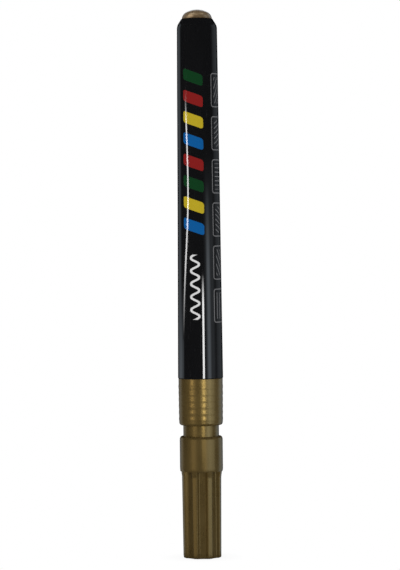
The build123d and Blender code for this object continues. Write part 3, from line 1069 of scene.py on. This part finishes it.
# Soft glows on the curtain, which gloss shows as bands. Each has the azimuth of its middle, its
# half width and its soft edge in degrees, from the camera's side to the right; the heights where it
# starts and ends, which are soft too; and its radiance.
GLOW_END_SOFT = 50 * MM
CURTAIN_GLOWS = (
    (47, 3, 11, -300 * MM, 125 * MM, 1.2),
    (56, 16, 18, -300 * MM, 140 * MM, 0.33),
    (116, 14, 16, -300 * MM, 500 * MM, 0.22),
    (-127, 8, 11, -300 * MM, 500 * MM, 0.37),
    (-118, 12, 14, -300 * MM, 50 * MM, 0.33),
    (-105, 9, 7, -20 * MM, 65 * MM, 0.65),
)

# Strip lamps that draw the long highlights. Each has its distance, its half width in degrees, the
# heights where it starts and ends, the lengths over which its ends fade, how steeply its lower end
# fades, and its radiance. The left one bends: its azimuths are in degrees.
LEFT_RIBBON = (400 * MM, 4.2, 44 * MM, 146 * MM, 33 * MM, 12 * MM, 1.5, 13)
RIBBON_BEND_HEIGHT = 107 * MM
RIBBON_BEND = -60
RIBBON_UPPER_SWEEP = -20
RIBBON_LOWER_SWEEP = -36
RIBBON_SWEEP_LENGTH = 38 * MM
RIGHT_STRIP = (170 * MM, 4.6, 0 * MM, 72 * MM, 38 * MM, 9 * MM, 3, 16)
RIGHT_STRIP_AZIMUTH = 16.9

# Tints of the panels
NEUTRAL = (1, 1, 1)
PALE = (0.94, 1.01, 1.08)
COOL = (0.85, 1.02, 1.22)
COLD = (0.74, 1.05, 1.55)
WARM = (1.06, 1, 0.82)
AMBER = (1.1, 0.98, 0.66)
GOLDEN = (1.02, 1, 0.74)

# Soft panels for the gold mouldings, which face the axis. Each has its azimuth; its distance with
# the heights of its lower and upper edge; its half width in degrees, its radiance, its tint and the
# pieces that it lights.
FAR = (400 * MM, -90 * MM, 150 * MM)
FAR_AND_LOW = (400 * MM, -200 * MM, 150 * MM)
GRIP = [ringed_grip]
CAP = [fluted_cap]
GOLD = [fluted_cap, ringed_grip]
GOLD_PANELS = {
    "grip_right": (16.5, (100 * MM, 24 * MM, 58 * MM), 5.5, 3.2, GOLDEN, GRIP),
    "grip_right_near": (15.7, (40 * MM, 35 * MM, 54 * MM), 5.5, 2.4, GOLDEN, GRIP),
    "grip_left": (-44.5, (60 * MM, 36 * MM, 45 * MM), 6.5, 2.5, AMBER, GRIP),
    "grip_side": (48, FAR, 7, 0.85, COOL, GRIP),
    "cap_side": (48, FAR, 7, 0.3, COOL, CAP),
    "cap_front": (20, FAR, 8, 0.8, WARM, CAP),
    "cap_left": (-122, FAR, 12, 0.08, NEUTRAL, CAP),
    "gold_front": (12, (45 * MM, 22 * MM, 45 * MM), 8, 1.1, GOLDEN, GOLD),
    "gold_side": (51, FAR, 24, 0.72, COOL, GOLD),
    "gold_fill": (-42, FAR, 13, 0.46, WARM, GOLD),
    "gold_low_fill": (-45, FAR, 33, 0.12, AMBER, GOLD),
    "gold_right_rim": (126, FAR_AND_LOW, 19, 0.42, COLD, GOLD),
    "gold_left_rim": (-134, FAR_AND_LOW, 18, 0.36, COOL, GOLD),
}

# Panels for the tail's dome, which face it. Each has its azimuth and elevation in degrees, its
# width and height, its radiance and its tint.
DOME_PANEL_DISTANCE = 400 * MM
DOME_PANELS = {
    "dome_left_low": (-66, 15, (270 * MM, 150 * MM), 1.5, PALE),
    "dome_left": (-62, 40, (270 * MM, 150 * MM), 2.4, PALE),
    "dome_left_high": (-80, 65, (150 * MM, 150 * MM), 2, COOL),
    "dome_top": (-13, 65, (220 * MM, 150 * MM), 0.8, PALE),
    "dome_right": (80, 27, (150 * MM, 260 * MM), 0.8, COLD),
    "dome_right_high": (80, 65, (150 * MM, 150 * MM), 1.4, COOL),
    "dome_back_left": (-130, 22, (250 * MM, 200 * MM), 0.3, COLD),
    "dome_back": (180, 22, (250 * MM, 200 * MM), 1.1, COOL),
    "dome_back_right": (130, 22, (250 * MM, 200 * MM), 0.6, COLD),
}


def backdrop_rays(tree):
    """1 for the rays that see the backdrop: from the camera, off gloss and through clear matter."""
    path = signals(tree.nodes.new("ShaderNodeLightPath"))
    return largest(path["Is Camera Ray"], path["Is Glossy Ray"], path["Is Transmission Ray"])


def white_world():
    """A white backdrop, with a dim even light for what it falls on."""
    world = bpy.data.worlds.new("white_backdrop")
    bpy.context.scene.world = world
    world.use_nodes = True
    tree = world.node_tree
    light = tree.nodes["Background"]
    feed(light.inputs["Color"], WHITE)
    feed(light.inputs["Strength"], AMBIENT)
    feed(tree.nodes["World Output"].inputs["Surface"], result("ShaderNodeMixShader", {
        0: backdrop_rays(tree),
        1: Signal(light.outputs[0]),
        2: result("ShaderNodeBackground", {"Color": WHITE, "Strength": 1}, tree),
    }))


def stage_finish(name):
    """A material with no shader yet, and a point's place round the axis."""
    material, _, position = finish_for(name)
    nodes = material.node_tree.nodes
    nodes.remove(nodes["Principled BSDF"])
    return material, apply_effect(round_the_axis, Position=position)


def show(shader):
    """Makes a shader the surface of its material."""
    feed(shader.tree.nodes["Material Output"].inputs["Surface"], shader)


def keep_to(lamp, pieces):
    """Keeps a lamp's light to some pieces, as flags beside the lamp would."""
    lit = bpy.data.collections.new(lamp.name)
    for piece in pieces:
        lit.objects.link(piece)
    lamp.light_linking.receiver_collection = lit


def stage_object(name, shell, material):
    """A stage object from a mesh under construction, which gives light to the film alone."""
    item = built(name, shell)
    item.data.materials.append(material)
    keep_to(item, [barrel_film])
    return item


def white_floor():
    """A round white floor that takes the shadow at the marker's foot and fades to the backdrop."""
    material, place = stage_finish("white_floor")
    tree = material.node_tree
    white = between(place["Radius"], 0, FLOOR_RADIUS, 1 - SHADOW_SHARE, 1)
    show(result("ShaderNodeMixShader", {
        0: white * backdrop_rays(tree),
        1: result("ShaderNodeBsdfDiffuse", {"Color": FLOOR_COLOUR}, tree),
        2: result("ShaderNodeEmission", {"Color": WHITE}, tree),
    }))
    shell = bmesh.new()
    bmesh.ops.create_circle(shell, cap_ends=True, segments=SMALL_SEGMENTS, radius=FLOOR_RADIUS)
    bmesh.ops.translate(shell, verts=shell.verts, vec=(0, 0, CAP_END - FLOOR_GAP))
    stage_object("white_floor", shell, material)


def dark_curtain():
    """A dark drum with soft glows, which gloss reflects and which nothing else sees."""
    material, place = stage_finish("dark_curtain")
    total = CURTAIN_DARK
    for azimuth, half, soft, bottom, top, radiance in CURTAIN_GLOWS:
        aside = abs(place["Angle"] - radians(azimuth))
        side = between(aside, radians(half + soft), radians(half))
        above = between(place["Height"], bottom, bottom + GLOW_END_SOFT, 0, radiance)
        below = between(place["Height"], top, top - GLOW_END_SOFT)
        total = side * (above * below) + total
    show(result("ShaderNodeEmission", {"Color": CURTAIN_TINT, "Strength": total}))
    shell = bmesh.new()
    bmesh.ops.create_cone(
        shell, cap_ends=True, segments=SMALL_SEGMENTS, radius1=CURTAIN_RADIUS,
        radius2=CURTAIN_RADIUS, depth=CURTAIN_TOP - CURTAIN_BOTTOM,
    )
    bmesh.ops.translate(shell, verts=shell.verts, vec=(0, 0, (CURTAIN_TOP + CURTAIN_BOTTOM) / 2))
    curtain = stage_object("dark_curtain", shell, material)
    curtain.visible_camera = False
    curtain.visible_diffuse = False
    curtain.visible_shadow = False
    curtain.visible_transmission = False


def ribbon_azimuth(height):
    """The left strip lamp's azimuth at a height."""
    sweep = RIBBON_UPPER_SWEEP if height > RIBBON_BEND_HEIGHT else RIBBON_LOWER_SWEEP
    along = (height - RIBBON_BEND_HEIGHT) / RIBBON_SWEEP_LENGTH
    return RIBBON_BEND + sweep * (1 - exp(-along ** 2))


def strip_lamp(name, strip, azimuth):
    """A strip lamp for the film, on a drum round the axis, that follows an azimuth and fades."""
    distance, half_width, bottom, top, fade_bottom, fade_top, steepness, radiance = strip
    material, place = stage_finish(name)
    above = between(place["Height"], bottom, bottom + fade_bottom)
    above = calculate("POWER", above, steepness)
    below = between(place["Height"], top, top - fade_top, 0, radiance)
    show(result("ShaderNodeEmission", {"Color": WHITE, "Strength": above * below}))
    rows = []
    for step in range(SMALL_SEGMENTS + 1):
        height = bottom + (top - bottom) * step / SMALL_SEGMENTS
        turns = [radians(azimuth(height) + side) for side in (-half_width, half_width)]
        rows.append([around(distance, turn, height) for turn in turns])
    lamp = stage_object(name, sheet(rows), material)
    lamp.visible_camera = False
    lamp.visible_shadow = False


def panel(name, place, aim, size, radiance, tint, pieces):
    """A soft panel that lights some pieces. It faces the axis at the height that it aims at."""
    light = bpy.data.lights.new(name, "AREA")
    light.color = tint
    light.shape = "RECTANGLE"
    light.size, light.size_y = size
    light.energy = radiance * pi * size[0] * size[1]
    lamp = placed(name, light)
    lamp.location = place
    lamp.rotation_mode = "QUATERNION"
    lamp.rotation_quaternion = (Vector((0, 0, aim)) - lamp.location).to_track_quat("-Z", "Y")
    lamp.visible_camera = False
    keep_to(lamp, pieces)


def gold_panels():
    """The panels round the grip and the cap."""
    for name, (azimuth, span, half_width, radiance, tint, pieces) in GOLD_PANELS.items():
        distance, bottom, top = span
        middle = (bottom + top) / 2
        place = around(distance, radians(azimuth), middle)
        width = 2 * distance * tan(radians(half_width))
        panel(name, place, middle, (width, top - bottom), radiance, tint, pieces)


def dome_panels():
    """The panels over the tail."""
    for name, (azimuth, elevation, size, radiance, tint) in DOME_PANELS.items():
        reach = DOME_PANEL_DISTANCE * cos(radians(elevation))
        rise = DOME_PANEL_DISTANCE * sin(radians(elevation))
        place = around(reach, radians(azimuth), DOME_TOP + rise)
        panel(name, place, DOME_TOP, size, radiance, tint, [tail_dome])


# Camera, for an image of 400 x 570. The lens and the sensor are in millimetres.
CAMERA_DISTANCE = 617 * MM
CAMERA_HEIGHT = 81 * MM
CAMERA_ASIDE = 0.1 * MM
CAMERA_NEAR = 10 * MM
AIM_HEIGHT = 69.7 * MM
CAMERA_LENS = 152.4
CAMERA_SENSOR = 36
CAMERA_ROLL = radians(0.6)


def camera():
    """The camera before the marker, above its middle and rolled so that the tail leans left."""
    data = bpy.data.cameras.new("camera")
    data.sensor_fit = "AUTO"
    data.sensor_width = CAMERA_SENSOR
    data.lens = CAMERA_LENS
    data.clip_start = CAMERA_NEAR
    item = placed("camera", data)
    item.location = (CAMERA_ASIDE, -CAMERA_DISTANCE, CAMERA_HEIGHT)
    towards = Vector((CAMERA_ASIDE, 0, AIM_HEIGHT)) - item.location
    roll = Quaternion((0, 0, 1), -CAMERA_ROLL)
    item.rotation_mode = "QUATERNION"
    item.rotation_quaternion = towards.to_track_quat("-Z", "Y") @ roll
    bpy.context.scene.camera = item


white_world()
white_floor()
dark_curtain()
strip_lamp("left_ribbon", LEFT_RIBBON, ribbon_azimuth)
strip_lamp("right_strip", RIGHT_STRIP, lambda height: RIGHT_STRIP_AZIMUTH)
gold_panels()
dome_panels()
camera()
bpy.context.scene.view_settings.view_transform = "Standard"
